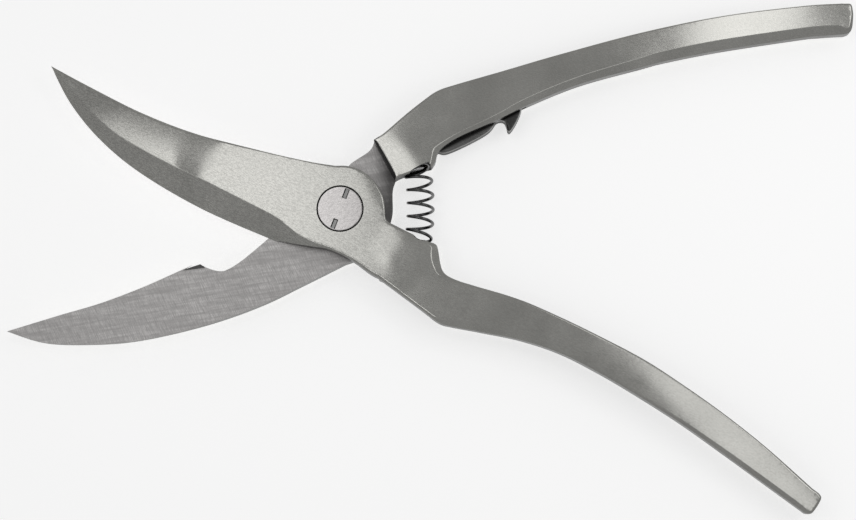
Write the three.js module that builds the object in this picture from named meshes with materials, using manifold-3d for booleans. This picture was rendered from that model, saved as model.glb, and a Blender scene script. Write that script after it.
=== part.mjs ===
// Poultry shears, spring-loaded, lying on their back faces with the handles sprung open.
// Millimetres, +Z up. The origin is on the pivot axis at the rest plane, +X points to the handles.
// The front half (plain blade, lower handle) turns on the rear half (notched blade, upper handle).
import * as THREE from 'three';
import { mergeVertices } from 'three/addons/utils/BufferGeometryUtils.js';
import Module from 'manifold-3d';

const wasm = await Module();
wasm.setup();

// ---------- driving dimensions ----------
const HANDLE_T = 10; // thickness of a handle
const MID_Z = HANDLE_T / 2; // shearing plane
const SHEAR_GAP = 0.05; // from the shearing plane to each blade
const PLATE_T = 4.15; // thickness of each pivot plate
const FRONT_PLATE_Z = MID_Z + SHEAR_GAP + PLATE_T; // front face of the front plate
const REAR_PLATE_Z = MID_Z - SHEAR_GAP - PLATE_T; // back face of the rear plate
const TIP_T = 1.7; // blade thickness at its tip
const CLOSE_ANGLE = THREE.MathUtils.degToRad(44); // swing of the front half until the bosses meet
const DRAFT = 1.3; // how far a handle's side leans in from mid-plane to face
const LAND = 0.6; // half height of the straight band at a handle's mid-plane

const SCREW_HEAD_R = 6.15;
const SCREW_HEAD_T = 1.7;
const SCREW_R = 2.5;
const NUT_R = 4;
const NUT_HEAD_R = 5.8;
const NUT_HEAD_T = 2;
const NUT_FLOOR = 1.2; // closed end of the nut
const RUNNING_GAP = 0.05; // radial clearance where a piece turns
const SEAT_GAP = 0.03; // radial clearance where a piece is pressed in
const BLIND_GAP = 0.05; // left beyond a piece's end where it goes into a blind hole
const COUNTERBORE_GAP = 0.3; // around the screw's head
const OVERCUT = 1; // how far a cutter reaches past a face
const WASHER_T = 0.4;
const WASHER_BORE_R = NUT_R + 0.3;
const FRICTION_WELL_R = 8.5; // shallow recess for the friction washer
const FRICTION_WASHER_R = 8.4;

const WIRE_R = 0.45; // return spring
const COIL_R = 3.5; // its mean radius
const COILS = 7.7;
const FIRST_TURN = THREE.MathUtils.degToRad(110); // where the wire starts around the spring's axis
const RECESS_R = 4.35; // blind hole for each spring end
const RECESS_DEPTH = 3.8;
const RECESS_SPARE = 0.5; // depth left beyond the last coil
const PEG_R = 2.1;
const PEG_PROUD = 2.4; // how far a peg stands up inside the spring
const PEG_SET = 2.3; // how far it is pressed into the boss

const LEVER_T = 3.8; // latch lever
const LEVER_BACK_Z = MID_Z - LEVER_T / 2;
const LEVER_PIN = [27, 18.9]; // the axis that it turns on
const LEVER_PIN_R = 1.25;
const LEVER_SWING = THREE.MathUtils.degToRad(50); // stowed to hooked
const GROOVE_HALF = 2.1; // half width of the latch groove and the catch slot
const CATCH_PIN_R = 1.2;
const HOOK_CENTRE = [44.2, 22.9]; // centre of the hook's throat with the lever stowed

// ---------- outlines in plan ----------
// Rear half, upper handle at its widest level. Each list is one smooth stretch between two corners.
const UPPER_OUTER = [[8.7, 19.6], [16.4, 26.4], [22, 31], [26.4, 34.1], [31.7, 36.2], [44.3, 39.9],
  [61.1, 44.8], [83.5, 50.8], [106, 55.3], [128.5, 58.2], [140, 58.9]];
const UPPER_END = [[140, 58.9], [142.6, 58.4], [143.4, 56.4], [143.1, 53], [141.9, 50.6], [139.6, 49.6]];
const UPPER_INNER = [[139.6, 49.6], [128.3, 48.6], [105.8, 45.2], [83.4, 40.2], [66.6, 35.4], [52.6, 29.6],
  [43.4, 24.9], [33.2, 20.3], [28.8, 17.6]];
const UPPER_BOSS_SIDE = [[28.8, 17.6], [27, 15.9], [26.5, 14.2], [26.1, 12.8], [25.2, 11.3]];
const UPPER_BOSS_FACE = [[25.2, 11.3], [21.6, 10.4], [19, 9.6], [16.6, 8.75], [15, 8.15]];
// Front half, lower handle at its widest level.
const LOWER_BOSS_FACE = [[13.4, -3.2], [18.2, -5.6], [24.9, -8.8]];
const LOWER_BOSS_SIDE = [[24.9, -8.8], [26.6, -9.6], [27.2, -12], [27.6, -14.6], [28.6, -17.2], [31.6, -18.8],
  [38.5, -20.9], [49.5, -24.3], [60.5, -29.1], [71.5, -34.7], [83.7, -41.2], [94.6, -48.3], [105.4, -56.2],
  [116.2, -65], [126.9, -74.5], [130.2, -77.7]];
const LOWER_END = [[130.2, -77.7], [131.2, -79.2], [130, -81.7], [128, -83.8], [126, -83.4]];
const LOWER_OUTER = [[126, -83.4], [114.6, -74.8], [93.1, -59.2], [71.3, -45.6], [60.4, -40], [49.5, -36.3],
  [38.5, -34], [30.6, -32.6], [27, -31.6], [22, -27.9], [10.5, -19.1]];
// Blades, from the tip to the pivot plate.
const PLAIN_SPINE = [[-80.5, 40.8], [-70.5, 35], [-55.6, 27.5], [-38.9, 21], [-22.3, 16.6], [-9, 13.5],
  [0, 11.9]];
const PLAIN_RIDGE = [[-80.1, 40.1], [-74.6, 34], [-67.8, 26.4], [-50, 14.3], [-33.1, 6], [-17.6, -1.6],
  [-7, -8]];
const PLAIN_EDGE = [[-80.5, 40.4], [-75.5, 30.5], [-67.2, 20.3], [-55.8, 10.8], [-38.9, 0.8], [-20.2, -7.5],
  [-6, -10.3]];
const NOTCHED_SPINE = [[-91.5, -33.6], [-81, -36.5], [-68, -36.9], [-54.9, -35.7], [-37.9, -31.8],
  [-22, -26.2], [-9.7, -20.3], [1.3, -14.6]];
const NOTCHED_RIDGE = [[-91.4, -33.6], [-81, -33.6], [-68, -32.4], [-54.9, -28.6], [-37.9, -23], [-22, -16.4],
  [-14, -10], [-8, -4]];
const NOTCHED_EDGE = [[-91.5, -33.4], [-77, -28.8], [-66.1, -25.5], [-54, -20.9], [-40, -14.9], [-24, -8.4],
  [-14, -3], [-7, 3]];
const BONE_NOTCH = [[-38.6, -14.6], [-36.4, -15.9], [-33.4, -16.7], [-31, -16.2], [-26.6, -13.4],
  [-19.6, -7.4], [-17, -5]];

// ---------- shapes ----------
const vectors = (points) => points.map(([x, y]) => new THREE.Vector2(x, y));

// A closed outline. A list of points is one smooth stretch; corners(...) is a run of straight lines.
const corners = (points) => ({ points });

function outline(...stretches) {
  const shape = new THREE.Shape();
  shape.moveTo(...(stretches[0].points ?? stretches[0])[0]);
  for (const stretch of stretches) {
    if (stretch.points) stretch.points.slice(1).forEach((point) => shape.lineTo(...point));
    else shape.splineThru(vectors(stretch.slice(1)));
  }
  return shape;
}

function extrude(shape, zLow, zHigh, curveSegments = 2) {
  const depth = zHigh - zLow;
  const geometry = new THREE.ExtrudeGeometry(shape, { depth, bevelEnabled: false, curveSegments });
  return geometry.translate(0, 0, zLow);
}

// A handle: widest in a narrow band at mid-plane, with sides that lean in to both faces.
function draftedPlate(shape) {
  const geometry = new THREE.ExtrudeGeometry(shape, {
    depth: 2 * LAND,
    bevelThickness: MID_Z - LAND,
    bevelSize: DRAFT,
    bevelOffset: -DRAFT,
    bevelSegments: 1,
    curveSegments: 2,
  });
  return geometry.translate(0, 0, MID_Z - LAND);
}

function cylinder(x, y, radius, zLow, zHigh, segments = 48) {
  const geometry = new THREE.CylinderGeometry(radius, radius, zHigh - zLow, segments);
  return geometry.rotateX(Math.PI / 2).translate(x, y, (zLow + zHigh) / 2);
}

// A wall that joins the same number of points at every station, closed by flat ends.
function loft(stations) {
  const sides = stations[0].length;
  const positions = stations.flat(2);
  const index = [];
  for (let s = 0; s + 1 < stations.length; s++) {
    for (let k = 0; k < sides; k++) {
      const a = s * sides + k;
      const b = s * sides + ((k + 1) % sides);
      index.push(a, b, b + sides, a, b + sides, a + sides);
    }
  }
  const last = (stations.length - 1) * sides;
  for (let k = 1; k + 1 < sides; k++) {
    index.push(0, k + 1, k);
    index.push(last, last + k, last + k + 1);
  }
  const geometry = new THREE.BufferGeometry();
  geometry.setAttribute('position', new THREE.Float32BufferAttribute(positions, 3));
  geometry.setIndex(index);
  return geometry;
}

// ---------- solids ----------
function solid(geometry) {
  const bare = geometry.clone();
  bare.deleteAttribute('normal');
  bare.deleteAttribute('uv');
  const merged = mergeVertices(bare, 1e-4);
  const mesh = new wasm.Mesh({
    numProp: 3,
    vertProperties: new Float32Array(merged.attributes.position.array),
    triVerts: new Uint32Array(merged.index.array),
  });
  return new wasm.Manifold(mesh);
}

function cut(body, ...tools) {
  return tools.reduce((left, tool) => left.subtract(solid(tool)), body);
}

function join(...geometries) {
  return geometries.map(solid).reduce((whole, next) => whole.add(next));
}

function named(name, body, color, roughness, metalness = 1) {
  const data = body.getMesh();
  const geometry = new THREE.BufferGeometry();
  geometry.setAttribute('position', new THREE.BufferAttribute(data.vertProperties, 3));
  geometry.setIndex(new THREE.BufferAttribute(data.triVerts, 1));
  geometry.computeVertexNormals();
  const mesh = new THREE.Mesh(geometry, new THREE.MeshStandardMaterial({ color, roughness, metalness }));
  mesh.name = name;
  return mesh;
}

// ---------- blades ----------
const STATIONS = 22;

// `face` is the shearing face's level and `outward` is +1 or -1, the side that the bevel is on.
// The blade thins from the pivot plate to its tip. The rear blade mirrors the front one both in plan
// and in height, so one order of corners faces out on both.
function blade(spine, ridge, edge, face, outward) {
  const curves = [spine, ridge, edge].map((points) => new THREE.SplineCurve(vectors(points)));
  const stations = [];
  for (let i = 0; i <= STATIONS; i++) {
    const t = i / STATIONS;
    const [s, r, e] = curves.map((curve) => curve.getPoint(t));
    const thickness = THREE.MathUtils.lerp(TIP_T, PLATE_T, Math.min(1, 1.25 * t));
    const outer = face + outward * thickness;
    stations.push([[e.x, e.y, face], [s.x, s.y, face], [s.x, s.y, outer], [r.x, r.y, outer]]);
  }
  return loft(stations);
}

// ---------- return spring and its seats ----------
// The spring bows gently to the right between its two seats.
const SPRING_X = 22.15;
const SPRING_MID_Y = 1;
const SPRING_REACH = 12.9; // half the length between the seats
const BOW = 0.00556; // sideways bend, by the square of the distance from the middle
const BOW_AT_ENDS = 0.0000275; // and by its fourth power
const SEAT_RUNOUT = 4; // how far the recess's cutter reaches out of the boss

function springAxis(u) {
  const bow = BOW * u ** 2 + BOW_AT_ENDS * u ** 4;
  return new THREE.Vector3(SPRING_X - bow, SPRING_MID_Y + u, MID_Z);
}

// A point on the spring's axis and the direction from there into the boss.
function seat(side) {
  const end = springAxis(side * SPRING_REACH);
  const inner = springAxis(side * (SPRING_REACH - RECESS_DEPTH));
  return { end, direction: end.clone().sub(inner).normalize() };
}

function alongSeat(side, radius, from, to, segments) {
  const { end, direction } = seat(side);
  const geometry = new THREE.CylinderGeometry(radius, radius, to - from, segments);
  geometry.applyQuaternion(new THREE.Quaternion().setFromUnitVectors(new THREE.Vector3(0, 1, 0), direction));
  const middle = end.clone().addScaledVector(direction, (from + to) / 2);
  return geometry.translate(middle.x, middle.y, middle.z);
}

const recess = (side) => alongSeat(side, RECESS_R, -RECESS_DEPTH - SEAT_RUNOUT, WIRE_R + RECESS_SPARE, 40);

class SpringPath extends THREE.Curve {
  // The last half turn at each end lies flat and the turns between are open.
  getPoint(t, target = new THREE.Vector3()) {
    const flat = 0.5 / COILS;
    const rise = THREE.MathUtils.clamp((t - flat) / (1 - 2 * flat), 0, 1);
    const u = THREE.MathUtils.lerp(-SPRING_REACH, SPRING_REACH, rise);
    const centre = springAxis(u);
    const ahead = springAxis(u + 0.01).sub(centre).normalize();
    const angle = FIRST_TURN + t * COILS * 2 * Math.PI;
    const across = new THREE.Vector3(ahead.y, -ahead.x, 0);
    target.copy(centre).addScaledVector(across, COIL_R * Math.cos(angle));
    target.z += COIL_R * Math.sin(angle);
    return target;
  }
}

function wire(path, radius, sides, steps) {
  const circle = new THREE.Shape().absarc(0, 0, radius, 0, 2 * Math.PI);
  const section = new THREE.Shape(circle.getPoints(sides / 2).slice(0, -1));
  return new THREE.ExtrudeGeometry(section, { extrudePath: path, steps, bevelEnabled: false });
}

function makeReturnSpring() {
  const body = solid(wire(new SpringPath(), WIRE_R, 8, Math.round(COILS * 16)));
  return named('return_spring', body, '#a8a8aa', 0.3);
}

function makePeg(name, side) {
  const body = solid(alongSeat(side, PEG_R, -PEG_PROUD, WIRE_R + PEG_SET, 24));
  return named(name, body, '#8f9092', 0.4);
}

const pegHole = (side) => alongSeat(side, PEG_R + SEAT_GAP, -OVERCUT, WIRE_R + PEG_SET + BLIND_GAP, 24);

// ---------- latch ----------
function turned([x, y], angle, [cx, cy] = [0, 0]) {
  const c = Math.cos(angle);
  const s = Math.sin(angle);
  return [cx + c * (x - cx) - s * (y - cy), cy + s * (x - cx) + c * (y - cy)];
}

// Where the throat is once the lever has swung down, and that point on the front half lying open.
const HOOKED_AT = turned(HOOK_CENTRE, -LEVER_SWING, LEVER_PIN);
const CATCH_PIN = turned(HOOKED_AT, -CLOSE_ANGLE);

function leverOutline() {
  return outline(
    [[27.2, 16.1], [28.6, 15.7], [30.5, 16.2], [34.7, 18.1], [39, 20.4], [41.2, 21.9], [42.6, 23.3]],
    [[42.6, 23.3], [43.3, 24.1], [44.2, 24.4], [45.1, 24], [45.6, 22.9], [45.9, 22]],
    [[45.9, 22], [46.6, 21.6], [47.5, 22.5], [48.8, 24.6], [49.8, 26.8], [50.4, 28.9]],
    corners([[50.4, 28.9], [49.2, 29.3], [43, 27.2], [35.5, 24], [29.4, 20.9]]),
    [[29.4, 20.9], [28.3, 21.6], [26.9, 21.7], [25.2, 20.9], [24.4, 19.4], [24.6, 17.6], [25.6, 16.6],
      [27.2, 16.1]],
  );
}

// The groove takes the stowed lever and leaves its way out, down to the boss's side.
function grooveOutline() {
  return outline(
    [[23.6, 19.2], [24.3, 21.3], [26.2, 22.5], [28.6, 22.3], [35.3, 24.9], [42.6, 28], [49.2, 30.4]],
    corners([[49.2, 30.4], [51.2, 29.9], [54, 20], [30, 12], [25.2, 14.6], [24.2, 16.4], [23.6, 19.2]]),
  );
}

// The slot in the lower handle that the hook dips into, drawn with the shears shut.
function catchSlotOutline() {
  const shut = [[37.2, 16], [37.2, 7.6], [39.2, 5.7], [41.4, 4.6], [45.6, 4.7], [50.9, 6.6], [52.3, 10.5],
    [53.3, 15], [53.5, 21]];
  return new THREE.Shape(vectors(shut.map((point) => turned(point, -CLOSE_ANGLE))));
}

const slotCut = (shape) => extrude(shape, MID_Z - GROOVE_HALF, MID_Z + GROOVE_HALF);

function makeLever() {
  const plate = extrude(leverOutline(), LEVER_BACK_Z, LEVER_BACK_Z + LEVER_T);
  const hole = cylinder(...LEVER_PIN, LEVER_PIN_R + RUNNING_GAP, 0, HANDLE_T, 32);
  const springWell = cylinder(...LEVER_PIN, LATCH_WELL_R, LEVER_BACK_Z - OVERCUT, LATCH_WELL_Z, 32);
  return named('latch_lever', cut(solid(plate), hole, springWell), '#4a4a4b', 0.45);
}

const PIN_BACK_Z = 0.2; // pressed pins end just inside the back face
const PIN_FRONT_Z = 8.6; // and stop in a blind hole behind the front face

function makeCrossPin(name, [x, y], radius) {
  return named(name, solid(cylinder(x, y, radius, PIN_BACK_Z, PIN_FRONT_Z, 32)), '#9a9a9c', 0.35);
}

function crossHole([x, y], radius) {
  return cylinder(x, y, radius + SEAT_GAP, -OVERCUT, PIN_FRONT_Z + BLIND_GAP, 32);
}

// Torsion coil in a well in the lever's back side, around the lever's pin.
const LATCH_WIRE_R = 0.2;
const LATCH_COIL_R = 1.65;
const LATCH_WELL_R = 2.15;
const LATCH_WELL_Z = 5; // floor of the well
const LATCH_TURNS = 3;

class LatchSpringPath extends THREE.Curve {
  getPoint(t, target = new THREE.Vector3()) {
    const angle = t * LATCH_TURNS * 2 * Math.PI;
    const spare = LATCH_WIRE_R + BLIND_GAP;
    const z = THREE.MathUtils.lerp(LEVER_BACK_Z + spare, LATCH_WELL_Z - spare, t);
    target.set(LATCH_COIL_R * Math.cos(angle), LATCH_COIL_R * Math.sin(angle), z);
    return target.add(new THREE.Vector3(...LEVER_PIN, 0));
  }
}

function makeLatchSpring() {
  const body = solid(wire(new LatchSpringPath(), LATCH_WIRE_R, 6, LATCH_TURNS * 14));
  return named('latch_spring', body, '#a8a8aa', 0.3);
}

// ---------- pivot stack ----------
const SLOT_ANGLE = THREE.MathUtils.degToRad(69.5);
const SLOT_LENGTH = 2.5;
const SLOT_WIDTH = 1.15;
const SLOT_INSET = 0.45; // from the rim to the slot's outer end
const SLOT_DEPTH = 0.9;
const SCREW_EDGE = 0.15; // bevel around the head
const SCREW_END_Z = NUT_FLOOR + 0.3;
const SCREW_HEAD_Z = FRONT_PLATE_Z - SCREW_HEAD_T; // under the head

function makeScrew() {
  const profile = vectors([[0, SCREW_END_Z], [SCREW_R, SCREW_END_Z], [SCREW_R, SCREW_HEAD_Z],
    [SCREW_HEAD_R, SCREW_HEAD_Z], [SCREW_HEAD_R, FRONT_PLATE_Z - SCREW_EDGE],
    [SCREW_HEAD_R - SCREW_EDGE, FRONT_PLATE_Z], [0, FRONT_PLATE_Z]]);
  const turnedPiece = new THREE.LatheGeometry(profile, 64).rotateX(Math.PI / 2);
  const slots = [0, Math.PI].map((half) => {
    const reach = SCREW_HEAD_R - SLOT_INSET - SLOT_LENGTH / 2;
    const angle = SLOT_ANGLE + half;
    const slot = new THREE.BoxGeometry(SLOT_LENGTH, SLOT_WIDTH, 2 * SLOT_DEPTH).rotateZ(angle);
    return slot.translate(reach * Math.cos(angle), reach * Math.sin(angle), FRONT_PLATE_Z);
  });
  return named('pivot_screw', cut(solid(turnedPiece), ...slots), '#b4b3b0', 0.32);
}

const NUT_TOP = SCREW_HEAD_Z - BLIND_GAP;

function makeNut() {
  const bore = SCREW_R + SEAT_GAP;
  const profile = vectors([[0, 0], [NUT_HEAD_R, 0], [NUT_HEAD_R, NUT_HEAD_T], [NUT_R, NUT_HEAD_T],
    [NUT_R, NUT_TOP], [bore, NUT_TOP], [bore, NUT_FLOOR], [0, NUT_FLOOR]]);
  const body = solid(new THREE.LatheGeometry(profile, 64).rotateX(Math.PI / 2));
  return named('pivot_nut', body, '#a2a2a4', 0.35);
}

function ring(inner, outer, zLow, zHigh) {
  const profile = vectors([[inner, zLow], [outer, zLow], [outer, zHigh], [inner, zHigh], [inner, zLow]]);
  return new THREE.LatheGeometry(profile, 56).rotateX(Math.PI / 2);
}

const SPRING_WASHER_Z = NUT_HEAD_T + BLIND_GAP;
const NUT_SEAT_Z = SPRING_WASHER_Z + WASHER_T + BLIND_GAP; // floor of the rear plate's counterbore
const WASHER_WELL_Z = MID_Z + SHEAR_GAP + WASHER_T; // floor of the front plate's shallow recess

function makeSpringWasher() {
  const body = solid(ring(WASHER_BORE_R, NUT_HEAD_R, SPRING_WASHER_Z, SPRING_WASHER_Z + WASHER_T));
  return named('spring_washer', body, '#8d8d8f', 0.4);
}

function makeFrictionWasher() {
  const low = MID_Z - SHEAR_GAP + SEAT_GAP;
  const body = solid(ring(WASHER_BORE_R, FRICTION_WASHER_R, low, WASHER_WELL_Z - SEAT_GAP));
  return named('friction_washer', body, '#b08d57', 0.45);
}

// ---------- the two halves ----------
const RAMP_FROM = 13; // distances from the pivot between which a face rises to the handle's full height
const RAMP_TO = 34;
const BEYOND = 80; // wider than either half around the pivot

// A wedge that shaves a handle's face down to the thinner pivot plate near the pivot.
function faceRamp(direction, thickness, side) {
  const rise = HANDLE_T / 2 - thickness;
  const block = [[-BEYOND, 0], [RAMP_FROM, 0], [RAMP_TO, rise], [RAMP_TO, BEYOND], [-BEYOND, BEYOND]];
  const wedge = extrude(new THREE.Shape(vectors(block)), -BEYOND, BEYOND);
  wedge.rotateX(Math.PI / 2);
  if (side < 0) wedge.rotateX(Math.PI);
  return wedge.rotateZ(direction).translate(0, 0, MID_Z + side * thickness);
}

// Directions from the pivot in which the two faces rise.
const LOWER_RAMP_AT = THREE.MathUtils.degToRad(-44);
const UPPER_RAMP_AT = THREE.MathUtils.degToRad(55);
const REAR_CLEARANCE_R = 17.6; // the rear plate turns inside this radius

function makeFrontHalf() {
  const shoulder = [[10.5, -19.1], [13.2, -12], [13.6, -7.5], [13.4, -3.2]];
  const handleShape = outline(
    corners(LOWER_BOSS_FACE),
    LOWER_BOSS_SIDE,
    corners(LOWER_END),
    LOWER_OUTER,
    corners(shoulder),
  );
  const plateShape = outline(
    [[-14, 14.2], [-5.6, 12.7], [0, 12.1], [5.5, 10.9], [9.3, 8.1], [11.9, 4], [12.5, 0], [12.9, -2.6]],
    corners([[12.9, -2.6], [14.2, -3.7], [20, -12], [12, -20.4]]),
    [[12, -20.4], [8.2, -17.8], [3.4, -14.3], [-2.9, -11], [-9, -9.4]],
    corners([[-9, -9.4], [-14, 14.2]]),
  );
  const plate = extrude(plateShape, MID_Z + SHEAR_GAP, FRONT_PLATE_Z, 4);
  const steel = blade(PLAIN_SPINE, PLAIN_RIDGE, PLAIN_EDGE, MID_Z + SHEAR_GAP, 1);
  const body = join(plate, steel).add(cut(
    solid(draftedPlate(handleShape)),
    faceRamp(LOWER_RAMP_AT, FRONT_PLATE_Z - MID_Z, 1),
    rearClearance(),
  ));
  return named('front_half', cut(
    body,
    cylinder(0, 0, NUT_R + RUNNING_GAP, 0, HANDLE_T, 64),
    cylinder(0, 0, SCREW_HEAD_R + COUNTERBORE_GAP, NUT_TOP, HANDLE_T + OVERCUT, 64),
    cylinder(0, 0, FRICTION_WELL_R, 0, WASHER_WELL_Z, 64),
    recess(-1),
    pegHole(-1),
    slotCut(catchSlotOutline()),
    crossHole(CATCH_PIN, CATCH_PIN_R),
  ), '#bdbcb9', 0.34);
}

// Room in the front half's rear layer for the rear plate, from open to shut.
function rearClearance() {
  return cylinder(0, 0, REAR_CLEARANCE_R, -OVERCUT, MID_Z + SHEAR_GAP, 96);
}

function makeRearHalf() {
  const shoulder = [[15, 8.15], [8.7, 19.6]];
  const handleShape = outline(
    UPPER_OUTER,
    corners(UPPER_END),
    UPPER_INNER,
    UPPER_BOSS_SIDE,
    corners(UPPER_BOSS_FACE),
    corners(shoulder),
  );
  const plateShape = outline(
    [[1.2, 11.9], [3.1, 13.6], [7.5, 17.2], [9.6, 18.9], [13, 22]],
    corners([[13, 22], [20, 12], [16.1, 8.75]]),
    [[16.1, 8.75], [15.3, 8], [14.6, 6.8], [14.1, 3.1], [14, -1.6], [12.6, -6.6], [9.4, -10.6], [5.2, -13.4],
      [1.3, -14.7]],
    corners([[1.3, -14.7], [-5.6, -18.1], [-13.8, -22.4], [-16, -12]]),
    [[-16, -12], [-12, -2], [-11.5, 2], [-9, 7.5], [-4, 11], [1.2, 11.9]],
  );
  const plate = extrude(plateShape, REAR_PLATE_Z, MID_Z - SHEAR_GAP, 4);
  const steel = blade(NOTCHED_SPINE, NOTCHED_RIDGE, NOTCHED_EDGE, MID_Z - SHEAR_GAP, -1);
  const beyondEdge = corners([[-17, -5], [-17, 2], [-38.6, -6], [-38.6, -14.6]]);
  const notch = extrude(outline(BONE_NOTCH, beyondEdge), -OVERCUT, MID_Z + OVERCUT, 3);
  const body = join(plate, steel).add(cut(
    solid(draftedPlate(handleShape)),
    faceRamp(UPPER_RAMP_AT, MID_Z - REAR_PLATE_Z, -1),
  ));
  return named('rear_half', cut(
    body,
    notch,
    cylinder(0, 0, NUT_R + SEAT_GAP, 0, HANDLE_T, 64),
    cylinder(0, 0, NUT_HEAD_R + 2 * BLIND_GAP, -OVERCUT, NUT_SEAT_Z, 64),
    recess(1),
    pegHole(1),
    slotCut(grooveOutline()),
    crossHole(LEVER_PIN, LEVER_PIN_R),
  ), '#b6b5b2', 0.36);
}

// ---------- assembly ----------
const shears = new THREE.Group();
const rear = new THREE.Group();
const front = new THREE.Group();
rear.add(
  makeRearHalf(),
  makeScrew(),
  makeNut(),
  makeSpringWasher(),
  makeFrictionWasher(),
  makePeg('upper_spring_peg', 1),
  makeReturnSpring(),
  makeLever(),
  makeCrossPin('latch_pin', LEVER_PIN, LEVER_PIN_R),
  makeLatchSpring(),
);
front.add(
  makeFrontHalf(),
  makePeg('lower_spring_peg', -1),
  makeCrossPin('catch_pin', CATCH_PIN, CATCH_PIN_R),
);
shears.add(rear, front);

export default shears;
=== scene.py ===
"""Poultry shears: the looks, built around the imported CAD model.

Shapes are worked out in millimetres in the frame's own axes and turned into metres when a piece is made.
Each half is one mesh: an outer surface over its whole outline, a flat shearing face over the blade and
pivot plate, and a raised handle face that starts at the shoulder.
"""
import math

import bmesh
import bpy
import numpy as np
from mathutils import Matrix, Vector
from mathutils.geometry import delaunay_2d_cdt


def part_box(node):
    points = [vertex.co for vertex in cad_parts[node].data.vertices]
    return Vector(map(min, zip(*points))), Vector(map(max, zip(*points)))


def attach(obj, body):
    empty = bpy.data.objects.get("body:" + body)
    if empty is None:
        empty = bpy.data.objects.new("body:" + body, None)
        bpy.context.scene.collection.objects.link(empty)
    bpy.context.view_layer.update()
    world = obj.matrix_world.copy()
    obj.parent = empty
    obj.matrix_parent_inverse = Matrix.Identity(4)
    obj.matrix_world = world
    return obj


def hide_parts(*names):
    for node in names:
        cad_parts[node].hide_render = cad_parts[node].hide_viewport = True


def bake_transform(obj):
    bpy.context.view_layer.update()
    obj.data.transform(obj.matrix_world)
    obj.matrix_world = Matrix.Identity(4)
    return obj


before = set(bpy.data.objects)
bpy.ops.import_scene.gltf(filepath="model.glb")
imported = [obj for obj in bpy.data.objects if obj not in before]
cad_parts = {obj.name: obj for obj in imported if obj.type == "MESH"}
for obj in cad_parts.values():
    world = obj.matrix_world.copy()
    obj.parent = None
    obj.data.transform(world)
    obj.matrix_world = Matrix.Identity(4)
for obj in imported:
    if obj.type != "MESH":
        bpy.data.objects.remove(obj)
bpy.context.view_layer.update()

MM = 0.001


def box_mm(node):
    low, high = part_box(node)
    return np.array(low) / MM, np.array(high) / MM


def pin_mm(node):
    """Where an upright pin stands, and its radius."""
    low, high = box_mm(node)
    return ((low + high) / 2)[:2], (high - low)[0] / 2


def put_in_scene(name, data):
    thing = bpy.data.objects.new(name, data)
    bpy.context.scene.collection.objects.link(thing)
    return thing


# ---------- camera ----------
VIEW_TILT = math.radians(8.2)
VIEW_TARGET = Vector((24.2, -13.7, 5)) * MM
VIEW_DISTANCE = 0.65
LENS_MM, SENSOR_MM = 99.05, 36


def add_camera():
    data = bpy.data.cameras.new("camera")
    data.lens = LENS_MM
    data.sensor_width = SENSOR_MM
    data.clip_start = 0.05
    camera = put_in_scene("camera", data)
    away = Vector((0, -math.sin(VIEW_TILT), math.cos(VIEW_TILT)))
    camera.location = VIEW_TARGET + VIEW_DISTANCE * away
    camera.rotation_euler = (VIEW_TILT, 0, 0)
    bpy.context.scene.camera = camera


add_camera()

# ---------- sizes taken from the frame ----------
FACE_BACK = box_mm("rear_half")[0][2]
FACE_FRONT = box_mm("rear_half")[1][2]
MID_Z = (FACE_BACK + FACE_FRONT) / 2
HALF_T = (FACE_FRONT - FACE_BACK) / 2
HEAD_TOP = box_mm("pivot_screw")[1][2]
HEAD_R = box_mm("pivot_screw")[1][0]
NUT_TOP = box_mm("pivot_nut")[1][2]
NUT_HEAD_R = box_mm("pivot_nut")[1][0]
LEVER_LOW, LEVER_HIGH = (corner[2] for corner in box_mm("latch_lever"))
LEVER_PIN, LEVER_PIN_R = pin_mm("latch_pin")
CATCH_PIN, CATCH_PIN_R = pin_mm("catch_pin")
PIN_END_Z = box_mm("catch_pin")[1][2]

# ---------- other driving sizes ----------
PAST = 1  # how far a cutter reaches past a face
BELOW, ABOVE = -PAST, FACE_FRONT + PAST
SHEAR_GAP = 0.05  # from the shearing plane to each blade
PLATE_T = HEAD_TOP - MID_Z - SHEAR_GAP
COUNTERBORE_R, COUNTERBORE_DEPTH = HEAD_R + 0.35, 1.75
REAR_BORE_R, FRONT_BORE_R = 4.03, 4.05  # round the nut's barrel
NUT_SEAT_R, NUT_SEAT_TOP = NUT_HEAD_R + 0.1, 2.5
WASHER_SEAT_R, WASHER_SEAT_DEPTH = 8.5, 0.4
PIN_SPARE, PIN_END_SPARE = 0.03, 0.05
SHOULDER_R = 17.6  # the front half's rear shoulder turns outside the rear plate
CLOSE_ANGLE = math.radians(44)
STEP = 0.8  # spacing of points along an outline
GRID, GRID_ROW = 1.4, 0.866  # spacing of points inside a face, and of their rows as a share of it
GRID_CLEAR = 0.55  # share of that spacing kept free along the face's edge
TURN_SPREAD = 1.9  # how far along the outline a corner's ridge is rounded
SMOOTH_ANGLE = 32  # faces that meet at more degrees than this have a sharp edge
MERGE, SLIVER = 0.004, 0.002  # points and edges closer or shorter than this are joined

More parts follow.
